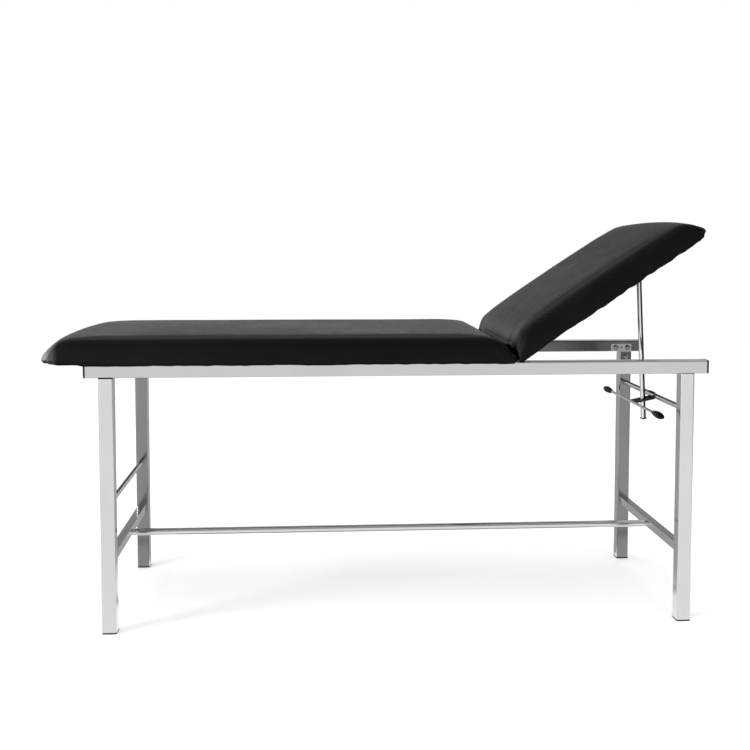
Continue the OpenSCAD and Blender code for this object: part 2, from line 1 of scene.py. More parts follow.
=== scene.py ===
# Looks of a steel-framed couch with a flat cushion and a raised backrest.
# X runs along the rails from the foot end (-) to the head end (+), Y across them with the near
# side negative, Z up.  Cushions are drawn in millimetres from the middle and top of the rails,
# with the backrest laid flat, then placed in the metre frame of the model.
import json
import math
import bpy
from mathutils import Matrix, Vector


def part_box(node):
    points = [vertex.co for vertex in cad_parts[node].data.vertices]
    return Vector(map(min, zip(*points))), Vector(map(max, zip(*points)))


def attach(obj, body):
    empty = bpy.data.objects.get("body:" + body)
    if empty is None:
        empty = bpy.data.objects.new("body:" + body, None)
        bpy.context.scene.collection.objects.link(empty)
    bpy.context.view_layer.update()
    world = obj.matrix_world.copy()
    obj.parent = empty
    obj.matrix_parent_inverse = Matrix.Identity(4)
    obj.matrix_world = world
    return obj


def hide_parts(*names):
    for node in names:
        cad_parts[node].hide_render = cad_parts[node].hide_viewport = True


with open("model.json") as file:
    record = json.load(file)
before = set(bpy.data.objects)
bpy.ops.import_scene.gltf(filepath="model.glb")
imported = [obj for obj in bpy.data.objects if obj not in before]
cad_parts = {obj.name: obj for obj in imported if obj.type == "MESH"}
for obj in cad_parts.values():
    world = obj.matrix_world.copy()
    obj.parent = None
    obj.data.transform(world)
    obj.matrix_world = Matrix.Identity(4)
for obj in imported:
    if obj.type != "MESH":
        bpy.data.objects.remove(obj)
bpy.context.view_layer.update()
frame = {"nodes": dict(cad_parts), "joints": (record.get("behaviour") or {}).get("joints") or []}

from types import SimpleNamespace

import bpy
import numpy as np
from mathutils import Matrix, Vector

scene = bpy.context.scene
NODES = frame["nodes"]

# ---------------------------------------------------------------------------
# places taken from the model, in millimetres
# ---------------------------------------------------------------------------
rail_lo, rail_hi = [v * 1000 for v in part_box("near_side_rail")]
RAIL_MID = (rail_lo.x + rail_hi.x) / 2
RAIL_TOP = rail_hi.z
hinge_joint = next(j for j in frame["joints"] if j["name"] == "backrest_hinge")
HINGE = hinge_joint["pos_m"][0] * 1000 - RAIL_MID
HINGE_UP = hinge_joint["pos_m"][2] * 1000 - RAIL_TOP
REST_ANGLE = -math.radians(hinge_joint["range_deg"][0])     # raise of the backrest at rest
board_lo, board_hi = [v * 1000 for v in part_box("mattress_board")]
BOARD_HALF_WIDTH = board_hi.y


def place(points, pad):
    """Drawn millimetres to metres in the model, turning backrest points up to their rest angle."""
    points = np.asarray(points, float)
    if pad.is_back:
        c, s = math.cos(REST_ANGLE), math.sin(REST_ANGLE)
        x, z = points[:, 0] - HINGE, points[:, 2] - HINGE_UP
        points = np.stack([HINGE + x * c - z * s, points[:, 1], HINGE_UP + x * s + z * c], 1)
    return (points + np.array([RAIL_MID, 0, RAIL_TOP])) / 1000.0


# ---------------------------------------------------------------------------
# shader graphs
# ---------------------------------------------------------------------------
class Graph:
    """Short ways to add nodes to the tree of a material or world."""

    def __init__(self, owner):
        owner.use_nodes = True
        self.tree = owner.node_tree
        self.tree.nodes.clear()

    def put(self, socket, value):
        """Links a socket into the input, or sets a plain value."""
        if isinstance(value, bpy.types.NodeSocket):
            self.tree.links.new(value, socket)
        else:
            socket.default_value = value

    def add(self, kind, inputs=None, **settings):
        node = self.tree.nodes.new("ShaderNode" + kind)
        for key, value in settings.items():
            setattr(node, key, value)
        for key, value in (inputs or {}).items():
            self.put(node.inputs[key], value)
        return node

    def math(self, operation, *values):
        return self.add("Math", dict(enumerate(values)), operation=operation).outputs[0]

    def plus(self, a, b):
        return self.math("ADD", a, b)

    def minus(self, a, b):
        return self.math("SUBTRACT", a, b)

    def times(self, a, b):
        return self.math("MULTIPLY", a, b)

    def blend(self, share, a, b):
        return self.plus(self.times(self.minus(1.0, share), a), self.times(share, b))

    def remap(self, value, start, end, low=0.0, high=1.0, curve="LINEAR"):
        """Takes start..end to low..high, held beyond both ends."""
        inputs = {"From Min": start, "From Max": end, "To Min": low, "To Max": high,
                  "Value": value}
        return self.add("MapRange", inputs, interpolation_type=curve).outputs[0]

    def fade(self, value, start, end, low=0.0, high=1.0):
        """Like remap, with soft ends."""
        return self.remap(value, start, end, low, high, "SMOOTHSTEP")

    def stretch(self, noise, low=0.0, high=1.0):
        """Spreads the middle of a noise over low..high."""
        return self.remap(noise, 0.3, 0.7, low, high)

    def split(self, vector):
        return self.add("SeparateXYZ", {0: vector}).outputs


MATERIALS = {}


class Material(Graph):
    def __init__(self, name):
        material = bpy.data.materials.new(name)
        super().__init__(material)
        self.output = self.add("OutputMaterial")
        self.bsdf = self.add("BsdfPrincipled")
        self.put(self.output.inputs["Surface"], self.bsdf.outputs[0])
        MATERIALS[name] = material

    def surface(self, **values):
        for key, value in values.items():
            self.put(self.bsdf.inputs[key.replace("_", " ")], value)

    def coords(self, scale=(1, 1, 1)):
        vector = self.add("TexCoord").outputs["Object"]
        return self.add("Mapping", {"Vector": vector, "Scale": scale}).outputs[0]

    def noise(self, vector, scale, detail=3.0, rough=0.55, distort=0.0, output="Fac"):
        inputs = {"Scale": scale, "Detail": detail, "Roughness": rough,
                  "Distortion": distort, "Vector": vector}
        return self.add("TexNoise", inputs).outputs[output]

    def voronoi(self, vector, scale, feature="F1"):
        inputs = {"Scale": scale, "Vector": vector}
        return self.add("TexVoronoi", inputs, feature=feature).outputs["Distance"]

    def mix(self, share, a, b):
        """Mixes two colours, each a socket or an RGB tuple."""
        a, b = [(*c, 1) if isinstance(c, tuple) else c for c in (a, b)]
        return self.add("Mix", {0: share, 6: a, 7: b}, data_type="RGBA").outputs[2]

    def bump(self, height, strength, distance, normal=None):
        inputs = {"Strength": strength, "Distance": distance, "Height": height}
        if normal is not None:
            inputs["Normal"] = normal
        return self.add("Bump", inputs).outputs[0]

    def axes(self, *fields):
        """The X, Y, Z parts of each named geometry field, from one geometry node."""
        geometry = self.add("NewGeometry")
        return [self.split(geometry.outputs[field]) for field in fields]


def shade(colour, factor):
    return tuple(c * factor for c in colour)


# What some steel pieces mirror of their surroundings, painted as a darker share of the colour.
def mirror_cushions(m, paint, colour):
    """Upper faces seen at a low angle mirror the dark cushions over them."""
    (normal,) = m.axes("Normal")
    facing = m.add("LayerWeight", {"Blend": 0.5}).outputs["Facing"]
    share = m.times(m.fade(facing, 0.74, 0.86), m.fade(normal["Z"], 0.55, 0.9))
    return m.mix(share, paint, shade(colour, 0.22))


def mirror_gap(m, paint, colour):
    """The part under a set height mirrors the dark gap it stands in."""
    height, soft = 0.677, 0.002     # metres
    (position,) = m.axes("Position")
    share = m.fade(position["Z"], height - soft, height + soft, 1.0, 0.0)
    return m.mix(share, paint, shade(colour, 0.16))


def mirror_head_end(m, paint, colour):
    """Near faces turned to the head end mirror the unlit side of the room."""
    (normal,) = m.axes("Normal")
    share = m.times(m.fade(normal["X"], -0.12, 0.05), m.fade(normal["Y"], -0.32, -0.10, 1.0, 0.0))
    return m.mix(share, paint, shade(colour, 0.06))


def mirror_above_and_below(m, paint, colour):
    """Round cross tubes mirror the dark underside above and the shaded floor below."""
    (normal,) = m.axes("Normal")
    share = m.math("MAXIMUM", m.fade(normal["Z"], 0.72, 0.90), m.fade(normal["Z"], -0.45, -0.75))
    return m.mix(share, paint, shade(colour, 0.05))


def steel(name, colour, rough, grain, wear=0.03, inner=None, bands=(1, 1, 1), depth=0.06,
          mirror=None):
    """Polished steel: drawn grain, cloudy polish and faint handling marks.
    inner paints shade on the faces that look in under the couch: a darker copy of the colour,
    clouded by depth at the scale bands."""
    m = Material(name)
    drawn = m.noise(m.coords(grain), 60.0, detail=4.0, rough=0.7)
    cloud = m.noise(m.coords(), 5.0, rough=0.5)
    marks = m.noise(m.coords((3, 3, 3)), 38.0, detail=6.0, rough=0.72, distort=0.6)
    light = shade(colour, 1 + wear)
    paint = m.mix(m.stretch(cloud), shade(colour, 1 - 2 * wear), light)
    paint = m.mix(m.times(m.stretch(drawn), 0.25), paint, light)
    # painted shade: faces that look in under the couch take a darker copy of the colour
    if inner is not None:
        position, normal = m.axes("Position", "Normal")
        outward = m.times(m.math("SIGN", position["Y"]), normal["Y"])
        inward = m.fade(m.times(outward, -1.0), 0.45, 0.95)
        band = m.noise(m.coords(bands), 3.2, detail=2.0, rough=0.5)
        base = shade(colour, inner)
        dark = m.mix(m.remap(band, 0.38, 0.62), shade(base, 1 - depth), shade(base, 1 + depth))
        paint = m.mix(inward, paint, dark)
    if mirror:
        paint = mirror(m, paint, colour)
    spots = m.times(m.fade(marks, 0.62, 0.74), 0.05)
    roughness = m.plus(m.stretch(cloud, rough * 0.85, rough * 1.2), spots)
    roughness = m.plus(roughness, m.times(drawn, 0.04))
    normal = m.bump(drawn, strength=0.05, distance=0.0004)
    normal = m.bump(marks, strength=0.04, distance=0.0003, normal=normal)
    m.surface(Base_Color=paint, Roughness=roughness, Metallic=1.0, Normal=normal)


def closed_seam(m, position, normal):
    """1 on the cushion faces pressed together at the hinge, else 0."""
    hinge = (RAIL_MID + HINGE) / 1000.0
    near = m.times(m.fade(position["X"], hinge - 0.075, hinge - 0.045),
                   m.fade(position["X"], hinge + 0.02, hinge + 0.06, 1.0, 0.0))
    to_head = m.fade(normal["X"], 0.52, 0.86)
    to_foot = m.times(m.fade(normal["X"], -0.55, -0.8), m.fade(normal["Z"], 0.25, -0.05))
    return m.times(near, m.math("MAXIMUM", to_head, to_foot))


def vinyl():
    """Black artificial leather: pebbled grain, fine pores, low sheen."""
    m = Material("black_vinyl")
    here = m.coords()
    shift = m.noise(here, 160.0, detail=2.0, rough=0.5, output="Color")
    warped = m.add("Mix", {0: 0.0025, 4: here, 5: shift}, data_type="VECTOR").outputs[1]
    pebble = m.voronoi(warped, 620.0)
    crease = m.voronoi(warped, 620.0, "DISTANCE_TO_EDGE")
    pores = m.noise(here, 2600.0, detail=2.0)
    broad = m.noise(here, 3.5)
    middle = m.noise(here, 28.0, detail=4.0, rough=0.6)
    dome = m.fade(crease, 0.0, 0.16)
    paint = m.mix(dome, (0.0006, 0.0006, 0.0007), (0.0013, 0.0013, 0.0014))
    paint = m.mix(m.stretch(broad, 0.0, 0.5), paint, (0.0020, 0.0020, 0.0022))
    roughness = m.plus(m.stretch(broad, 0.31, 0.38), m.stretch(middle, -0.03, 0.03))
    roughness = m.minus(roughness, m.times(dome, 0.03))
    # sheen: polished foot end, dull closed seam and dull turned-under lip
    position, normal = m.axes("Position", "Normal")
    rubbed = m.fade(position["X"], (RAIL_MID - 888.0) / 1000.0, (RAIL_MID - 914.0) / 1000.0)
    sheen = m.times(m.plus(0.105, m.times(rubbed, 0.82)),
                    m.minus(1.0, closed_seam(m, position, normal)))
    sheen = m.times(sheen, m.fade(normal["Z"], -0.08, -0.45, 1.0, 0.35))
    height = m.minus(m.times(dome, 1.0), m.times(pebble, 0.5))
    relief = m.bump(height, strength=0.30, distance=0.00035)
    relief = m.bump(pores, strength=0.12, distance=0.00012, normal=relief)
    relief = m.bump(middle, strength=0.10, distance=0.0012, normal=relief)
    m.surface(Base_Color=paint, Roughness=roughness, Specular_IOR_Level=sheen, Normal=relief)


def plastic(name, colour, rough, grain, strength, specular):
    """Moulded plastic: fine texture, faint clouding and scuffs."""
    m = Material(name)
    here = m.coords()
    texture = m.noise(here, grain, rough=0.6)
    cloud = m.noise(here, 24.0)
    streaks = m.noise(m.coords((1, 1, 7)), 55.0, detail=5.0, rough=0.75)
    scuff = m.fade(streaks, 0.60, 0.72)
    paint = m.mix(m.stretch(cloud), shade(colour, 0.8), shade(colour, 1.25))
    paint = m.mix(m.times(scuff, 0.25), paint, shade(colour, 2.4))
    roughness = m.plus(m.stretch(cloud, rough * 0.88, rough * 1.12), m.times(scuff, 0.08))
    m.surface(Base_Color=paint, Roughness=roughness, Specular_IOR_Level=specular,
              Coat_Roughness=0.08, Normal=m.bump(texture, strength, distance=0.0002))


def plywood():
    """Pale veneer with long rings, fibres and pores; plies show on the long edges."""
    m = Material("plywood")
    rings = m.add("TexWave", {"Scale": 9.0, "Distortion": 4.5, "Detail": 4.0, "Detail Scale": 1.1,
                              "Vector": m.coords((0.14, 2.6, 2.6))},
                  wave_type="RINGS", rings_direction="X").outputs["Fac"]
    fibre = m.noise(m.coords((3, 160, 160)), 9.0, detail=5.0, rough=0.7)
    pores = m.fade(m.noise(m.coords((12, 420, 420)), 5.0, rough=0.6), 0.60, 0.70)
    plies = m.add("TexWave", {"Scale": 62.0, "Vector": m.coords()},
                  wave_type="BANDS", bands_direction="Z").outputs["Fac"]
    paint = m.mix(m.remap(rings, 0.2, 0.8), (0.205, 0.186, 0.160), (0.228, 0.209, 0.183))
    paint = m.mix(m.times(fibre, 0.5), paint, (0.27, 0.25, 0.22))
    paint = m.mix(m.times(pores, 0.45), paint, (0.12, 0.10, 0.08))
    (normal,) = m.axes("Normal")
    edge = m.fade(m.math("ABSOLUTE", normal["Y"]), 0.5, 0.9)
    paint = m.mix(m.times(edge, m.times(plies, 0.6)), paint, (0.12, 0.095, 0.07))
    relief = m.bump(fibre, strength=0.25, distance=0.0004)
    relief = m.bump(pores, strength=0.3, distance=-0.0003, normal=relief)
    m.surface(Base_Color=paint, Roughness=m.stretch(fibre, 0.55, 0.75),
              Specular_IOR_Level=0.25, Normal=relief)


def foam():
    """Yellowish open-celled foam."""
    m = Material("upholstery_foam")
    here = m.coords()
    cells = m.voronoi(here, 700.0)
    cloud = m.noise(here, 12.0)
    m.surface(Base_Color=m.mix(m.stretch(cloud), (0.70, 0.63, 0.42), (0.80, 0.74, 0.55)),
              Roughness=0.95, Normal=m.bump(cells, strength=0.6, distance=0.0008))


def blackened_plate():
    """Black painted steel, worn brighter along its edges."""
    m = Material("blackened_plate")
    here = m.coords()
    cloud = m.noise(here, 45.0, detail=5.0, rough=0.7)
    fine = m.noise(here, 800.0, detail=2.0)
    edge = m.add("NewGeometry").outputs["Pointiness"]
    worn = m.fade(m.plus(edge, m.times(cloud, 0.06)), 0.565, 0.60)
    paint = m.mix(m.stretch(cloud), (0.002, 0.002, 0.0022), (0.005, 0.005, 0.0055))
    paint = m.mix(m.times(worn, 0.14), paint, (0.20, 0.20, 0.21))
    m.surface(Base_Color=paint, Metallic=m.times(worn, 0.2), Specular_IOR_Level=0.012,
              Roughness=m.stretch(cloud, 0.42, 0.55),
              Normal=m.bump(fine, strength=0.12, distance=0.0002))


# Grain scales of drawn steel: a low number stretches the grain along that axis.
GRAIN_X, GRAIN_Y, GRAIN_Z = (2.5, 260, 260), (260, 3, 260), (260, 260, 2.5)
GRAIN_ROD = (120, 120, 4)

# name, colour, roughness, grain scale
steel("leg_steel", (0.605, 0.605, 0.615), 0.13, GRAIN_Z, inner=0.34)
# rail_steel is a darker copy of the leg steel: painted shade for the darker floor and horizon its
# faces mirror
steel("rail_steel", (0.515, 0.515, 0.525), 0.14, GRAIN_X, inner=0.21, bands=(2.6, 0.2, 0.2),
      depth=0.22, mirror=mirror_cushions)
steel("tube_steel", (0.60, 0.60, 0.61), 0.11, GRAIN_Y)
steel("round_tube_steel", (0.66, 0.66, 0.67), 0.10, GRAIN_Y, mirror=mirror_above_and_below)
steel("long_tube_steel", (0.60, 0.60, 0.61), 0.11, GRAIN_X)
steel("bracket_steel", (0.50, 0.50, 0.51), 0.22, (40, 40, 40), inner=0.58, wear=0.06,
      mirror=mirror_gap)
steel("bolt_steel", (0.30, 0.30, 0.31), 0.20, (90, 90, 90), inner=0.75, wear=0.06)
steel("rod_steel", (0.66, 0.66, 0.67), 0.07, GRAIN_ROD)
steel("support_rod_steel", (0.70, 0.70, 0.71), 0.07, GRAIN_ROD, mirror=mirror_head_end)
# hinge_steel is a dark copy of the steel: painted shade for the brackets in the gap between the
# cushions
steel("hinge_steel", (0.30, 0.30, 0.31), 0.16, (60, 60, 60), wear=0.05)
steel("zinc", (0.50, 0.51, 0.53), 0.30, (70, 70, 70), wear=0.08)
steel("support_steel", (0.40, 0.40, 0.41), 0.32, (200, 3, 200), wear=0.06)
vinyl()
plastic("cap_plastic", (0.006, 0.006, 0.0065), rough=0.5, grain=900.0, strength=0.25,
        specular=0.15)
plastic("knob_plastic", (0.0015, 0.0015, 0.0016), rough=0.20, grain=500.0, strength=0.02,
        specular=0.035)
plywood()
foam()
steel("staple_steel", (0.58, 0.58, 0.60), 0.28, (60, 60, 60))
blackened_plate()

# material: the pieces it covers
FINISHES = {
    "rail_steel": "near_side_rail far_side_rail",
    "cap_plastic": "rail_end_plugs leg_top_plugs leg_foot_caps",
    "leg_steel": "foot_near_leg foot_far_leg head_near_leg head_far_leg",
    "round_tube_steel": "foot_upper_cross_tube head_upper_cross_tube",
    "tube_steel": "foot_lower_cross_rail head_lower_cross_rail",
    "long_tube_steel": "stretcher_tube",
    "zinc": "stretcher_inserts stretcher_bolts weld_nuts hinge_bracket_bolts hinge_pins "
            "mattress_board_screws hinge_leaf_screws rod_clevis_screws hinge_leaves "
            "rod_clevis clevis_pin",
    "bracket_steel": "leg_brackets",
    "bolt_steel": "leg_bracket_bolts",
    "support_steel": "board_support_bars",
    "hinge_steel": "hinge_brackets",
    "plywood": "mattress_board backrest_board",
    "upholstery_foam": "mattress_foam backrest_foam",
    "black_vinyl": "mattress_cover backrest_cover",
    "blackened_plate": "clevis_pin_ring rod_stop_washer rod_stop_screw friction_plate",
    "support_rod_steel": "support_rod",
    "rod_steel": "release_bar",
    "knob_plastic": "near_knob far_knob",
}
finish_of = {piece: MATERIALS[name] for name, pieces in FINISHES.items()
             for piece in pieces.split()}
for name, obj in NODES.items():
    if obj.material_slots:
        for slot in obj.material_slots:
            slot.link = "OBJECT"
            slot.material = finish_of[name]
    else:
        obj.data.materials.append(finish_of[name])


# ---------------------------------------------------------------------------
# mesh and field helpers
# ---------------------------------------------------------------------------
def new_mesh(name, points, faces, material, smooth=True):
    mesh = bpy.data.meshes.new(name)
    mesh.from_pydata([tuple(p) for p in points], [], [tuple(f) for f in faces])
    mesh.validate()
    mesh.update()
    if smooth:
        mesh.shade_smooth()
    mesh.materials.append(MATERIALS[material])
    obj = bpy.data.objects.new(name, mesh)
    scene.collection.objects.link(obj)
    return obj


def read_vertices(mesh, field="co"):
    values = np.zeros(len(mesh.vertices) * 3)
    mesh.vertices.foreach_get(field, values)
    return values.reshape(-1, 3)


def write_vertices(mesh, points):
    mesh.vertices.foreach_set("co", np.asarray(points, np.float32).ravel())
    mesh.update()


def register(obj, pad):
    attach(obj, pad.rides)


def ease(start, end, x):
    """Smooth step from 0 at start to 1 at end; start may be the larger."""
    t = np.clip((x - start) / (end - start), 0, 1)
    return t * t * (3 - 2 * t)


def smooth_max(a, b, width):
    """Maximum that rounds the edge where two bounds meet."""
    h = np.clip(0.5 + 0.5 * (a - b) / width, 0, 1)
    return a * h + b * (1 - h) + width * h * (1 - h)


def smooth_noise(x, y, z, seed):
    """Smooth repeatable noise, roughly -1..1, from summed sines."""
    draw = np.random.default_rng(seed)
    total = np.zeros_like(x)
    for _ in range(9):
        k = draw.normal(size=3)
        k /= np.linalg.norm(k)
        phase = (x * k[0] + y * k[1] + z * k[2]) * draw.uniform(0.7, 1.6)
        total += np.sin(phase + draw.uniform(0, 6.283))
    return total / 4.2


def signed_distance(points, outline):
    """Distance to a closed outline, negative inside."""
    nearest = np.full(len(points), 1e18)
    inside = np.zeros(len(points), bool)
    for start, end in zip(outline, np.roll(outline, -1, 0)):
        edge = end - start
        away = points - start
        t = np.clip((away @ edge) / max(edge @ edge, 1e-12), 0, 1)
        gap = away - t[:, None] * edge
        nearest = np.minimum(nearest, (gap * gap).sum(1))
        spans = (start[1] <= points[:, 1]) != (end[1] <= points[:, 1])
        crossing = start[0] + (points[:, 1] - start[1]) * edge[0] / (edge[1] or 1e-12)
        inside ^= spans & (points[:, 0] < crossing)
    return np.where(inside, -1, 1) * np.sqrt(nearest)


def outline_field(outline, u_span, v_span, u, v):
    """Signed distance to an outline at u, v, read from a table with 1.5 mm steps."""
    pitch = 1.5
    us, vs = [np.arange(lo, hi + pitch, pitch) for lo, hi in (u_span, v_span)]
    grid_u, grid_v = np.meshgrid(us, vs, indexing="ij")
    table = signed_distance(np.stack([grid_u.ravel(), grid_v.ravel()], 1), outline)
    table = table.reshape(grid_u.shape)
    i = np.clip((u - u_span[0]) / pitch, 0, len(us) - 1.001)
    j = np.clip((v - v_span[0]) / pitch, 0, len(vs) - 1.001)
    i0, j0 = i.astype(int), j.astype(int)
    fi, fj = i - i0, j - j0
    return (table[i0, j0] * (1 - fi) * (1 - fj) + table[i0 + 1, j0] * fi * (1 - fj)
            + table[i0, j0 + 1] * (1 - fi) * fj + table[i0 + 1, j0 + 1] * fi * fj)


def grid_line(lo, hi, coarse, fine, band):
    """Sample places from lo to hi, closer together within band of both ends."""
    places = [lo]
    while places[-1] < hi:
        x = places[-1]
        places.append(x + (fine if min(x - lo, hi - x) < band else coarse))
    return np.array(places)


def shifted(index, axes, shifts):
    cell = list(index)
    for axis, shift in zip(axes, shifts):
        cell[axis] = cell[axis] + shift
    return tuple(cell)


def surface_nets(field, xs, ys, zs):
    """Closed quad surface where field changes sign: a vertex per crossed cell, at the mean of
    the crossings on its edges, and a quad round each crossed grid edge."""
    lines = (xs, ys, zs)
    cells = tuple(n - 1 for n in field.shape)
    total = np.zeros(cells + (3,))
    count = np.zeros(cells)
    crossings = []
    for axis in range(3):
        others = [n for n in range(3) if n != axis]
        along = np.moveaxis(field, axis, 0)
        hit = (along[:-1] < 0) != (along[1:] < 0)
        before, after = along[:-1][hit], along[1:][hit]
        index, point = [None] * 3, [None] * 3
        for n, found in zip([axis] + others, np.nonzero(hit)):
            index[n] = found
            point[n] = lines[n][found]
        step = lines[axis][index[axis] + 1] - point[axis]
        point[axis] = point[axis] + before / (before - after) * step
        point = np.stack(point, 1)
        for shifts in ((-1, -1), (-1, 0), (0, -1), (0, 0)):
            cell = shifted(index, others, shifts)
            valid = np.all([(c >= 0) & (c < size) for c, size in zip(cell, cells)], axis=0)
            cell = tuple(c[valid] for c in cell)
            np.add.at(total, cell, point[valid])
            np.add.at(count, cell, 1)
        crossings.append((axis, others, index, before < 0))
    used = count > 0
    ids = np.full(cells, -1)
    ids[used] = np.arange(used.sum())
    faces = []
    for axis, others, index, inside_first in crossings:
        quads = np.stack([ids[shifted(index, others, shifts)]
                          for shifts in ((-1, -1), (0, -1), (0, 0), (-1, 0))], 1)
        keep = inside_first if axis != 1 else ~inside_first
        quads[~keep] = quads[~keep][:, ::-1]
        faces.append(quads)
    return total[used] / count[used][:, None], np.concatenate(faces)


# ---------------------------------------------------------------------------
# cushion outlines, in millimetres over the rails
# ---------------------------------------------------------------------------
FLAT_TOP = 73.6
BACK_TOP = 73.1


def flat_outline():
    """Side outline (X, Z) of the flat cushion, counter-clockwise from below its foot end."""
    hinge_end = [       # X from the hinge, Z
        (-16.5, 16), (-22.5, 25.5), (-30.5, 36), (-41.0, 47), (-51.5, 56.5)]
    foot_end = [        # X, Z
        (-826, 73.4), (-846, 72.5), (-860, 70.9), (-871, 68.5), (-881.5, 65.2), (-893.8, 59.4),
        (-906.6, 50.2), (-914, 43.6), (-920.5, 37.0), (-926.5, 29.6), (-931.0, 22.8),
        (-933.8, 17.8), (-934.8, 14.0), (-933.9, 9.8), (-930.5, 5.2), (-924, 1.9),
        (-914, -0.6), (-905, -8)]
    points = [(-897, -18), (HINGE - 11.0, -18), (HINGE - 11.0, 5)]
    points += [(HINGE + x, z) for x, z in hinge_end]
    # a quadratic curve carries the hinge end into the level top
    start, bend, end = [np.array([HINGE + x, z]) for x, z in
                        ((-51.5, 56.5), (-70.5, FLAT_TOP), (-106.0, FLAT_TOP))]
    points += [tuple((1 - t) ** 2 * start + 2 * t * (1 - t) * bend + t * t * end)
               for t in np.linspace(0.08, 1, 12)]
    points += [(x, FLAT_TOP) for x in np.linspace(150, -800, 8)]
    return np.array(points + foot_end)


def back_crown(x):
    """Height of the backrest's top at a distance from the hinge, highest at 255."""
    x = np.asarray(x, float)
    toward_hinge = BACK_TOP - 2.2 * ((255 - x) / 150.0) ** 2
    toward_end = BACK_TOP - 5.5 * (np.maximum(x - 255, 0) / 245.0) ** 2.2
    return np.where(x < 255, toward_hinge, toward_end)


def back_outline():
    """Side outline (X, Z) of the backrest cushion laid flat, counter-clockwise."""
    face = 9.6          # hinge-end face, from the hinge
    points = [          # X from the hinge, Z: underside and free end
        (face, -18), (590, -18), (596, -10.5), (603, -6), (609, -2.4), (612.8, 2.4),
        (613.6, 7.0), (611.4, 12.6), (606.8, 19.2), (601.0, 26.2), (593.5, 34.8),
        (585.0, 43.0), (576.0, 50.2), (566, 56.3), (554, 61.4), (541, 64.7), (526, 66.6)]
    points += [(x, float(back_crown(x))) for x in np.linspace(510, 140, 16)]
    # superellipse shoulder down toward the hinge
    centre, reach, power = 125, 122, 2 / 2.45
    top = float(back_crown(centre))
    angle = np.radians(np.linspace(90, 31, 24))
    points += zip(centre - reach * np.cos(angle) ** power, top * np.sin(angle) ** power)
    points += [(face, points[-1][1] - 4), (face, 0.5)]
    return np.array(points) + (HINGE, 0)


def cross_outline(pad):
    """Closed cross outline (Y, Z): under the board, lip over the rail, side and crown."""
    scale = pad.top / FLAT_TOP
    lower = pad.lip_drop
    half = [(0, 0.45), (285, 0.45), (296, 0.4), (299.9, 0.3), (300.9, -3.4 - lower),
            (302.2, -5.6 - lower), (304.2, -6.0 - lower), (306.0, -3.6 - lower), (307.4, 1.5),
            (308.3, 8), (308.6, 16), (308.3, 26)]
    upper = [(307.4, 36), (305.6, 46), (302.0, 55), (297.0, 62.0), (290.2, 67.0),
             (280.0, 70.6), (262.0, 72.4), (235.0, 73.0), (180.0, 73.3), (100.0, 73.5),
             (0, FLAT_TOP)]
    half += [(y, z * scale) for y, z in upper]
    return np.array(half + [(-y, z) for y, z in reversed(half[1:-1])])


def raised(outline, pad):
    """Lifts the top by part of what the rounding of two level bounds takes off it."""
    outline[:, 1] += pad.raise_top * ease(45.0, 72.0, outline[:, 1])
    return outline


# The two cushions.  outward is the X direction from the hinge to the free end; the spans run
# from where an effect is nil to where it is full.  Lengths in millimetres.
FLAT = SimpleNamespace(
    label="mattress", rides="frame", is_back=False, outward=-1,
    outline=flat_outline, top=FLAT_TOP, raise_top=0.5, lip_drop=0.0, hem_ripple=0.4,
    grid=(-951.0, HINGE + 1.0), board=(board_lo.x - RAIL_MID, board_hi.x - RAIL_MID),
    plan_end=-940.0, free_end=-934.0,
    bow=11.5, bow_span=(-640, -900),                        # free end bulging between corners
    reach_inner=8.8, reach_span=(HINGE - 90, HINGE - 9),    # growth toward the hinge axis
    firm_span=(-760, -880),                                 # free end inflating less
    vinyl_edge=(-919.0, HINGE - 13.0), edge_seed=41, staple_seed=3)
BACK = SimpleNamespace(
    label="backrest", rides="backrest", is_back=True, outward=1,
    outline=back_outline, top=BACK_TOP, raise_top=2.0, lip_drop=1.9, hem_ripple=0.9,
    grid=(HINGE + 1.0, HINGE + 631.0), board=(HINGE + 13.0, HINGE + 600.0),
    plan_end=HINGE + 619.0, free_end=HINGE + 617.0,
    bow=9.0, bow_span=(HINGE + 330, HINGE + 560),
    reach_inner=4.8, reach_span=(HINGE + 70, HINGE + 9),
    firm_span=(HINGE + 470, HINGE + 560),
    vinyl_edge=(HINGE + 12.6, HINGE + 606.0), edge_seed=57, staple_seed=5)


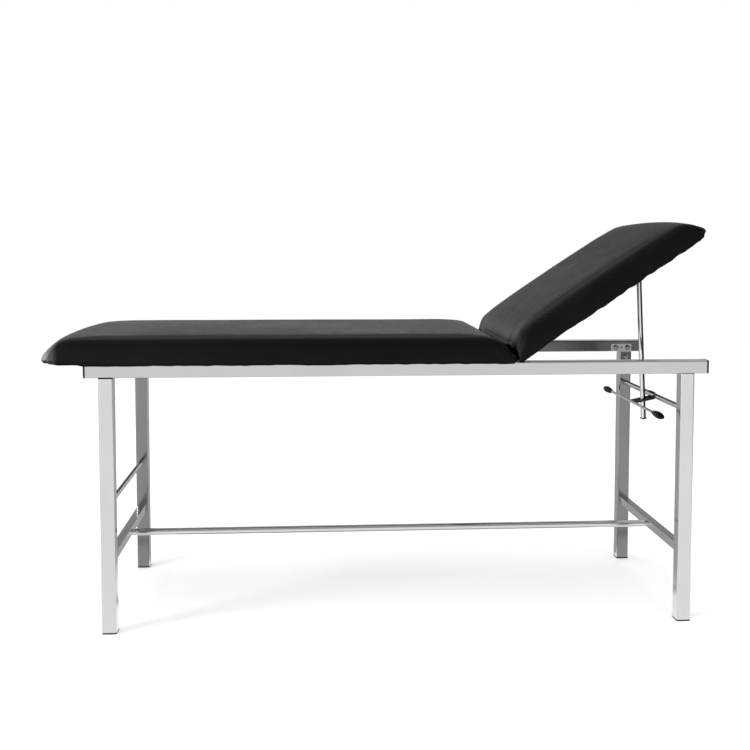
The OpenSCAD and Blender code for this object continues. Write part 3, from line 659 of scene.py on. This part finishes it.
# ---------------------------------------------------------------------------
# cushions
# ---------------------------------------------------------------------------
def cushion_skin(pad):
    """Vertices and quads of the cushion skin, from crossed side, section and plan outlines."""
    grid_margin = 6
    xs = grid_line(pad.grid[0] - grid_margin, pad.grid[1] + grid_margin,
                   coarse=7.0, fine=3.3, band=95)
    ys = grid_line(-314.0, 314.0, coarse=7.0, fine=2.7, band=46)
    zs = np.concatenate([np.arange(-11.0, 12.0, 2.1), np.arange(12.0, pad.top + 11, 3.8)])
    x, y, z = np.meshgrid(xs, ys, zs, indexing="ij")
    across = np.abs(y)

    # the cushion reaches closer to the hinge axis outside and between the hinge plates
    outer_reach = 6.0 + 5.0 * (1 - ease(0.0, 9.0, z)) if pad.is_back else 10.0
    reach = outer_reach * ease(263.5, 271.0, across)
    reach = reach + pad.reach_inner * (1 - ease(214.0, 221.0, across))
    side_x = x + pad.outward * reach * ease(*pad.reach_span, x)
    # the free end bows out between its corners, more so higher up
    bow = pad.bow * (1 - np.minimum(across / 302.0, 1.0) ** 2.3)
    bow = bow * (1 + 0.85 * ease(15.0, 55.0, z))
    bow = -pad.outward * bow * ease(*pad.bow_span, x)

    z_span = (-20, pad.top + 18)
    outline = raised(pad.outline(), pad)
    x_span = (outline[:, 0].min() - 20, outline[:, 0].max() + 20)
    side = outline_field(outline, x_span, z_span, side_x + bow, z)
    section_z = z
    if pad.is_back:     # the section is squeezed to follow the crown
        crown = back_crown(np.clip(x - HINGE, 0, 640))
        section_z = np.where(z > 20, 20 + (z - 20) * (pad.top - 20) / (crown - 20), z)
    section = outline_field(raised(cross_outline(pad), pad), (-322, 322), z_span, y, section_z)

    # plan outline with rounded free corners
    corner, half_width = 36.0, 313.5
    past_x = pad.outward * (x + bow - (pad.plan_end - pad.outward * corner))
    past_y = across - (half_width - corner)
    round_part = np.hypot(np.maximum(past_x, 0), np.maximum(past_y, 0)) - corner
    straight_part = np.maximum(past_x - corner, past_y - corner)
    plan = np.where((past_x > 0) & (past_y > 0), round_part, straight_part)

    # the edges are drawn tighter round the hinge end
    rounding = 13.0 - 7.0 * (1 - ease(20.0, 75.0, np.abs(x - HINGE)))
    field = smooth_max(side, section, rounding)
    field = smooth_max(field, plan, 5.0)
    if pad.is_back:     # upper corners at the hinge end are cut back
        inset = (x - HINGE + 3.0) + (308.5 - across)
        tuck = 52.0 * np.clip((z - 3.0) / 60.0, 0, 1) ** 0.9 - inset
        field = smooth_max(field, tuck / 1.55, 16.0)
    # pocket for the board
    bite, pocket_top = 2, 3.4
    beyond_x = np.maximum(pad.board[0] + bite - x, x - (pad.board[1] - bite))
    pocket = np.maximum(across - (BOARD_HALF_WIDTH - bite), beyond_x)
    pocket = np.maximum(pocket, z - pocket_top)
    return surface_nets(np.maximum(field, -pocket), xs, ys, zs)


def inflate(obj, hold, shape, reach):
    """Blows the skin up as cloth, held by the weights hold; the result stays within reach
    metres of shape."""
    pins = obj.vertex_groups.new(name="pin")
    for weight in (1.0, 0.5):
        pins.add(np.nonzero(hold == weight)[0].tolist(), weight, "REPLACE")
    cloth = obj.modifiers.new("puff", "CLOTH")
    settings = cloth.settings
    settings.quality = 4
    settings.mass = 0.4
    settings.tension_stiffness = settings.compression_stiffness = 40
    settings.shear_stiffness = 25
    settings.bending_stiffness = 6
    settings.use_pressure = True
    settings.uniform_pressure_force = 4.0
    settings.vertex_group_mass = "pin"
    settings.pin_stiffness = 1.0
    settings.effector_weights.gravity = 0
    cloth.collision_settings.use_collision = False
    cloth.collision_settings.use_self_collision = False
    last_frame = 16
    cloth.point_cache.frame_start, cloth.point_cache.frame_end = 1, last_frame
    for f in range(1, last_frame + 1):
        scene.frame_set(f)
    depsgraph = bpy.context.evaluated_depsgraph_get()
    offset = read_vertices(obj.evaluated_get(depsgraph).data) - shape
    obj.modifiers.remove(cloth)
    scene.frame_set(1)

    distance = np.linalg.norm(offset, axis=1)
    limited = reach * np.tanh(distance / reach)
    share = np.where(distance > 1e-9, limited / np.maximum(distance, 1e-9), 0)
    offset = offset * share[:, None]
    ends = np.zeros(len(obj.data.edges) * 2, np.int32)
    obj.data.edges.foreach_get("vertices", ends)
    a, b = ends.reshape(-1, 2).T
    size = len(shape)
    degree = np.bincount(a, minlength=size) + np.bincount(b, minlength=size)
    degree = np.maximum(degree, 1)[:, None]
    for _ in range(24):     # smooths the ridges where the limit takes over
        near = np.zeros_like(offset)
        for c in range(3):
            near[:, c] = (np.bincount(a, offset[b, c], size)
                          + np.bincount(b, offset[a, c], size))
        offset = 0.5 * offset + 0.5 * near / degree
    write_vertices(obj.data, shape + offset)


def dress(points, normals, pad):
    """Puckers of the stretched vinyl, on points in millimetres."""
    x, y, z = points.T
    across = np.abs(y)
    side = np.sign(y)
    seed = int(pad.is_back)
    from_hinge = pad.outward * (x - HINGE)
    past_end = pad.outward * (x - pad.free_end)

    # rippled lower edge along the sides
    phase = np.where(y > 0, 1.9, 0.0) + 0.7 * seed
    ripple = (0.62 * np.sin(x / 8.3 + phase) + 0.5 * np.sin(x / 13.9 + 2.1 * phase + 1.0)
              + 0.35 * np.sin(x / 5.1 + phase * 3.0))
    long_ripple = smooth_noise(x / 30.0, side * 3.0, 0, 11 + seed)
    swing = 0.55 + 0.45 * np.sin(x / 97.0 + 0.6)
    hem = ease(288, 303, across) * np.exp(-np.maximum(z + 4, 0) / 17.0)
    out = hem * pad.hem_ripple * 1.1 * ripple * swing
    drop = pad.hem_ripple * (1.9 * long_ripple + 0.6 * ripple)
    # the same along the free end
    end_hem = ease(-40, -8, past_end) * np.exp(-np.maximum(z + 2, 0) / 17.0)
    end_hem = end_hem * (1 - ease(262, 290, across))
    out = out + end_hem * 0.9 * (0.6 * np.sin(y / 8.9 + 0.4) + 0.5 * np.sin(y / 14.7 + 2.2))
    # pleats fanned round the corners of the free end
    corner_x = pad.outward * (x - (pad.free_end - pad.outward * 40.0))
    corner_y = across - 268.0
    angle = np.degrees(np.arctan2(corner_y, corner_x))
    zone = ease(16, 30, np.hypot(corner_x, corner_y)) * ease(-6, 12, angle)
    zone = zone * (1 - ease(78, 96, angle)) * np.exp(-np.maximum(z + 1, 0) / 8.0)
    folds = np.abs(((angle - 7) / 19.0) % 1.0 - 0.5) * 2.0
    out = out + zone * (2.2 * (folds ** 1.6) - 1.1)
    # slight unevenness of top and sides
    uneven = (smooth_noise(x / 55.0, y / 55.0, z / 40.0, 23 + seed) * 0.32
              + smooth_noise(x / 150.0, y / 130.0, z / 60.0, 31 + seed) * 0.55)
    out = out + ease(4, 16, z) * uneven
    # the sides swell softly between the staples
    swell = ease(296, 306, across) * ease(4, 16, z) * (1 - ease(30, 52, z))
    out = out + swell * 0.9 * smooth_noise(x / 24.0, side * 2.0, z / 30.0, 71 + seed)
    # soft drag lines running up from the lower corners at the hinge end
    drag = np.exp(-((from_hinge - 34) / 30.0) ** 2) * ease(250, 300, across)
    drag = drag * ease(2, 14, z) * (1 - ease(40, 62, z))
    out = out + drag * 0.55 * np.sin((from_hinge * 0.8 - z) / 5.5)

    points = points + normals * out[:, None]
    lip = ease(300.2, 302.4, across) * (1 - ease(2, 16, z))
    if not pad.is_back:     # the lip is raised near the foot end
        drop = drop - 4.6 * (1 - ease(-852.0, -822.0, x))
    points[:, 2] -= np.clip(drop, -5.6, 2.0) * lip
    # keep clear of the rails
    over = (np.abs(points[:, 1]) < 300.7) & (points[:, 2] < 0.32)
    points[over, 2] = 0.32
    low = (points[:, 2] < 0.3) & (np.abs(points[:, 1]) < 300.75)
    points[low, 1] = np.sign(points[low, 1]) * 300.75
    return points


def cushion(pad):
    points, quads = cushion_skin(pad)
    obj = new_mesh(f"{pad.label}_upholstery", points / 1000.0, quads, "black_vinyl")
    # start up to 2.4 mm inside the shape, held fast near the lower edge
    x, z = points[:, 0], points[:, 2]
    normals = read_vertices(obj.data, "normal")
    start = points - normals * (2.4 * ease(6, 26, z))[:, None]
    write_vertices(obj.data, start / 1000.0)
    hold = np.where(z < 9.0, 1.0, np.where(z < 16.0, 0.5, 0.0))
    # both ends stay closer to their shape than the middle
    free = ease(*pad.firm_span, x)
    hinge = 1 - ease(60, 150, np.abs(x - HINGE))
    inflate(obj, hold, points / 1000.0, 0.0026 - 0.0016 * np.maximum(free, hinge))
    subdivision = obj.modifiers.new("sub", "SUBSURF")
    subdivision.levels = subdivision.render_levels = 1
    bpy.ops.object.select_all(action="DESELECT")
    obj.select_set(True)
    bpy.context.view_layer.objects.active = obj
    bpy.ops.object.modifier_apply(modifier="sub")
    mesh = obj.data
    dressed = dress(read_vertices(mesh) * 1000.0, read_vertices(mesh, "normal"), pad)
    write_vertices(mesh, place(dressed, pad))
    mesh.shade_smooth()
    register(obj, pad)
    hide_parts(f"{pad.label}_cover", f"{pad.label}_foam")


# ---------------------------------------------------------------------------
# vinyl turned under the boards, with its staples
# ---------------------------------------------------------------------------
EDGE_HALF_WIDTH = 299.0
EDGE_CORNER = 20.0
EDGE_WIDTH = 56.0           # mean width of the turned-under band
STAPLE_INSET = 47.0         # from the band's outer edge
STAPLE_PITCH = 31.0
STAPLE_LIMIT_Y = 255.5      # no staples over the rails


def edge_ring(pad):
    """Rounded rectangle round the board, counter-clockwise: points, outward normals and
    distances along it."""
    x0, x1 = pad.vinyl_edge
    r = EDGE_CORNER
    inner_y = EDGE_HALF_WIDTH - r
    centres = [(x1 - r, inner_y), (x0 + r, inner_y), (x0 + r, -inner_y), (x1 - r, -inner_y)]
    corner_points = 14
    straight_steps = (90, 46)       # long sides, ends
    points, normals = [], []
    for turn, (cx, cy) in enumerate(centres):
        for i in range(corner_points):
            angle = math.radians(90 * turn + 90 * i / (corner_points - 1))
            normal = (math.cos(angle), math.sin(angle))
            points.append((cx + r * normal[0], cy + r * normal[1]))
            normals.append(normal)
        here = points[-1]
        next_x, next_y = centres[(turn + 1) % 4]
        there = (next_x + r * normal[0], next_y + r * normal[1])
        steps = straight_steps[turn % 2]
        for i in range(1, steps):
            points.append(tuple(a + (b - a) * i / steps for a, b in zip(here, there)))
            normals.append(normal)
    points = np.array(points)
    lengths = np.linalg.norm(np.diff(points, axis=0), axis=1)
    return points, np.array(normals), np.concatenate([[0], np.cumsum(lengths)])


def vinyl_edge(pad):
    """The turned-under vinyl: a closed band with a wavy inner edge."""
    ring, normals, along = edge_ring(pad)
    seed = pad.edge_seed
    width = (EDGE_WIDTH + smooth_noise(along / 38.0, 0, 2.0, seed) * 3.2
             + smooth_noise(along / 11.0, 0, 0, seed + 1) * 0.7)
    rows = (0.0, 0.08, 0.3, 0.55, 0.8, 0.96, 1.0)       # shares of the width, from outside
    middle_z = 0.62
    tops, bottoms = [], []
    for share in rows:
        x, y = (ring - normals * (width * share)[:, None]).T
        fullness = 0.55 if share in (rows[0], rows[-1]) else 1.0
        droop = 0.22 * smooth_noise(x / 16.0, y / 16.0, 0, seed + 5) * ease(0.5, 1.0, share)
        off_rail = ease(0, 6, 262 - np.abs(y))
        low = middle_z - 0.30 * fullness - np.maximum(droop, 0) * off_rail
        bottoms.append(np.stack([x, y, low], 1))
        tops.append(np.stack([x, y, np.full_like(x, middle_z + 0.62 * fullness)], 1))
    layers = tops + bottoms[::-1]
    count = len(ring)
    faces = []
    for k in range(len(layers)):
        a, b = k * count, (k + 1) % len(layers) * count
        for i in range(count):
            j = (i + 1) % count
            faces.append((a + i, a + j, b + j, b + i))
    obj = new_mesh(f"{pad.label}_vinyl_edge", place(np.concatenate(layers), pad), faces,
                   "black_vinyl")
    register(obj, pad)


def wire(path, radius, sides=6):
    """Vertices and faces of a closed bent wire along a path."""
    points, faces = [], []
    last = len(path) - 1
    for i, centre in enumerate(path):
        ahead = path[min(i + 1, last)] - path[max(i - 1, 0)]
        ahead = ahead / np.linalg.norm(ahead)
        u = np.cross(ahead, [0.31, 0.22, 0.92] if abs(ahead[2]) < 0.9 else [1, 0.1, 0])
        u /= np.linalg.norm(u)
        v = np.cross(ahead, u)
        for k in range(sides):
            angle = 2 * math.pi * k / sides
            points.append(centre + radius * (u * math.cos(angle) + v * math.sin(angle)))
    for i in range(last):
        a, b = i * sides, (i + 1) * sides
        for k in range(sides):
            j = (k + 1) % sides
            faces.append((a + k, a + j, b + j, b + k))
    faces.append(tuple(reversed(range(sides))))
    faces.append(tuple(last * sides + k for k in range(sides)))
    return np.array(points), faces


def support_bar_spans():
    """X spans of the separate bars in the one support bar piece."""
    vertices = NODES["board_support_bars"].data.vertices
    spans = []
    for x in np.sort(np.array([v.co.x for v in vertices]) * 1000 - RAIL_MID):
        if not spans or x - spans[-1][1] > 60:
            spans.append([x, x])
        spans[-1][1] = x
    return spans


BAR_SPANS = support_bar_spans()


def staple_blocked(pad, x, y):
    """True over the rails, and over the support bars or the backrest's hinge leaves."""
    if abs(y) > STAPLE_LIMIT_Y:
        return True
    if pad.is_back:
        return abs(y) > 205 and HINGE + 8 < x < HINGE + 135
    return any(start - 8 < x < end + 8 for start, end in BAR_SPANS)


def staples(pad):
    half_length, leg_top, crown_z, radius = 5.4, 0.8, 0.02, 0.30
    half = [            # distance from the middle, Z
        (half_length, leg_top), (half_length, crown_z + 0.28),
        (half_length - 0.3, crown_z + 0.05), (half_length * 0.5, crown_z)]
    profile = [(-d, z) for d, z in half] + half[::-1]
    draw = np.random.default_rng(pad.staple_seed)
    ring, normals, along = edge_ring(pad)
    points, faces, count = [], [], 0
    for distance in np.arange(12, along[-1] - 8, STAPLE_PITCH):
        i = int(np.searchsorted(along, distance))
        x, y = ring[i] - normals[i] * (STAPLE_INSET + draw.uniform(-2.0, 2.0))
        angle = math.atan2(normals[i][1], normals[i][0]) + math.pi / 2
        angle += draw.uniform(-0.22, 0.22)
        if staple_blocked(pad, x, y):
            continue
        c, s = math.cos(angle), math.sin(angle)
        path = np.array([(x + c * d, y + s * d, z) for d, z in profile])
        wire_points, wire_faces = wire(path, radius)
        points.append(wire_points)
        faces += [tuple(count + k for k in face) for face in wire_faces]
        count += len(wire_points)
    obj = new_mesh(f"{pad.label}_staples", place(np.concatenate(points), pad), faces,
                   "staple_steel")
    register(obj, pad)


for build in (cushion, vinyl_edge, staples):
    for pad in (FLAT, BACK):
        build(pad)


# ---------------------------------------------------------------------------
# stage: floor, world, lights, camera
# ---------------------------------------------------------------------------
def floor_material():
    """White floor, lifted a little toward the camera; polished steel sees its own version, a glow
    with painted shade and light.
    """
    m = Material("studio_floor")
    cloud = m.noise(m.coords(), 1.2, detail=4.0, rough=0.5)
    paint = m.mix(m.stretch(cloud), (0.855, 0.855, 0.855), (0.875, 0.875, 0.875))
    rays = m.add("LightPath").outputs
    m.surface(Base_Color=paint, Roughness=0.9, Specular_IOR_Level=0.0,
              Emission_Color=(1, 1, 1, 1),
              Emission_Strength=m.times(rays["Is Camera Ray"], 0.14))
    # mirrored floor, a glow seen only in reflections: painted shadow, darker from under the couch
    # to its far side
    (position,) = m.axes("Position")
    x, y = position["X"], position["Y"]
    glow = m.fade(y, -0.12, -0.02, 1.15, 0.46)
    # but painted lighter around the far legs
    at_leg_x = m.fade(m.math("ABSOLUTE", m.minus(x, 0.05)), 0.62, 0.68)
    at_leg_y = m.times(m.fade(y, -0.04, 0.04), m.fade(y, 0.30, 0.34, 1.0, 0.0))
    glow = m.plus(glow, m.times(m.times(at_leg_x, at_leg_y), 0.66))
    # and a painted dark wedge on the near side, beyond the head end
    outward = m.plus(x, m.times(m.math("MINIMUM", y, 0.0), 0.5))
    wedge = m.minus(m.times(y, -1.0), m.times(m.minus(x, 0.8), 0.35))
    dark = m.times(m.fade(outward, 1.3, 2.0, 0.0, 0.92), m.fade(wedge, 0.0, 0.5))
    emission = m.add("Emission", {"Strength": m.times(glow, m.minus(1.0, dark))})
    shader = m.add("MixShader", {0: rays["Is Glossy Ray"], 1: m.bsdf.outputs[0],
                                 2: emission.outputs[0]})
    m.put(m.output.inputs["Surface"], shader.outputs[0])


def studio_world():
    """White for all rays but glossy ones, which see a room of lighter and darker sides."""
    world = bpy.data.worlds.new("studio")
    scene.world = world
    g = Graph(world)
    x, y, z = g.split(g.add("TexCoord").outputs["Generated"])
    # how far a direction belongs to each side of the room
    far = g.fade(y, 0.25, 0.85)
    near = g.fade(g.times(y, -1.0), 0.25, 0.85)
    head = g.times(g.fade(x, 0.50, 0.72),
                   g.fade(g.plus(y, g.times(x, 0.35)), -0.10, 0.02, 1.0, 0.0))
    foot = g.fade(g.times(x, -1.0), 0.34, 0.66)
    # brightness of each side by height
    far_level = g.blend(g.fade(z, 0.40, 0.72), g.fade(z, 0.12, 0.235, 0.71, 0.27), 1.0)
    near_level = g.blend(g.fade(z, 0.16, 0.34), 0.96, g.fade(z, 0.60, 0.92, 0.30, 1.0))
    other_level = g.fade(z, 0.60, 0.92, 0.95, 0.60)
    level = g.blend(far, g.blend(near, other_level, near_level), far_level)
    level = g.blend(g.times(head, g.fade(z, 0.5, 0.8, 1.0, 0.0)), level, 0.05)
    level = g.blend(foot, level, 2.6)
    glossy = g.add("LightPath").outputs["Is Glossy Ray"]
    strength = g.plus(g.times(glossy, level), g.minus(1.0, glossy))
    background = g.add("Background", {"Color": (1, 1, 1, 1), "Strength": strength})
    g.add("OutputWorld", {"Surface": background.outputs[0]})


def area_light(name, location, aim, size, energy, glossy=True):
    """A rectangular light at location turned to aim; metres and watts."""
    light = bpy.data.lights.new(name, "AREA")
    light.shape = "RECTANGLE"
    light.size, light.size_y = size
    light.energy = energy
    obj = bpy.data.objects.new(name, light)
    scene.collection.objects.link(obj)
    obj.location = location
    obj.rotation_mode = "QUATERNION"
    obj.rotation_quaternion = (Vector(aim) - Vector(location)).to_track_quat("-Z", "Y")
    obj.visible_glossy = glossy


def camera():
    """Looks from the near side, slightly down and toward the head end."""
    data = bpy.data.cameras.new("camera")
    obj = bpy.data.objects.new("camera", data)
    scene.collection.objects.link(obj)
    scene.camera = obj
    data.sensor_fit = "HORIZONTAL"
    data.sensor_width = 36.0
    data.lens = 50.02944
    data.shift_x = -0.00488
    data.shift_y = -0.09185333
    data.clip_start, data.clip_end = 0.1, 200
    yaw, pitch, roll = 0.0638, 0.0638, 0.0003       # radians
    forward = Vector((math.sin(yaw) * math.cos(pitch), math.cos(yaw) * math.cos(pitch),
                      -math.sin(pitch)))
    right = forward.cross(Vector((0, 0, 1))).normalized()
    up = right.cross(forward).normalized()
    rolled_right = right * math.cos(roll) + up * math.sin(roll)
    rolled_up = up * math.cos(roll) - right * math.sin(roll)
    matrix = Matrix((rolled_right, rolled_up, -forward)).transposed().to_4x4()
    matrix.translation = Vector(((RAIL_MID - 234.98) / 1000.0, -3.02026, 1.03715))
    obj.matrix_world = matrix


floor_material()
FLOOR_HALF = 60     # metres
floor_corners = [(x * FLOOR_HALF, y * FLOOR_HALF, 0)
                 for x, y in ((-1, -1), (1, -1), (1, 1), (-1, 1))]
new_mesh("floor", floor_corners, [(0, 1, 2, 3)], "studio_floor", smooth=False)
studio_world()
area_light("key_overhead", location=(-0.3, -0.4, 3.6), aim=(0, 0, 0.6), size=(3.6, 2.6),
           energy=62, glossy=False)
area_light("fill_front", location=(0.2, -5.2, 2.6), aim=(0, 0, 0.5), size=(3.4, 1.6),
           energy=30, glossy=False)
area_light("strip_left", location=(-3.65, -1.95, 0.90), aim=(-0.9, -0.2, 0.74),
           size=(0.9, 0.42), energy=105)
scene.view_settings.view_transform = "Standard"
scene.view_settings.look = "None"
scene.view_settings.exposure = 0.0
scene.view_settings.gamma = 1.0
camera()
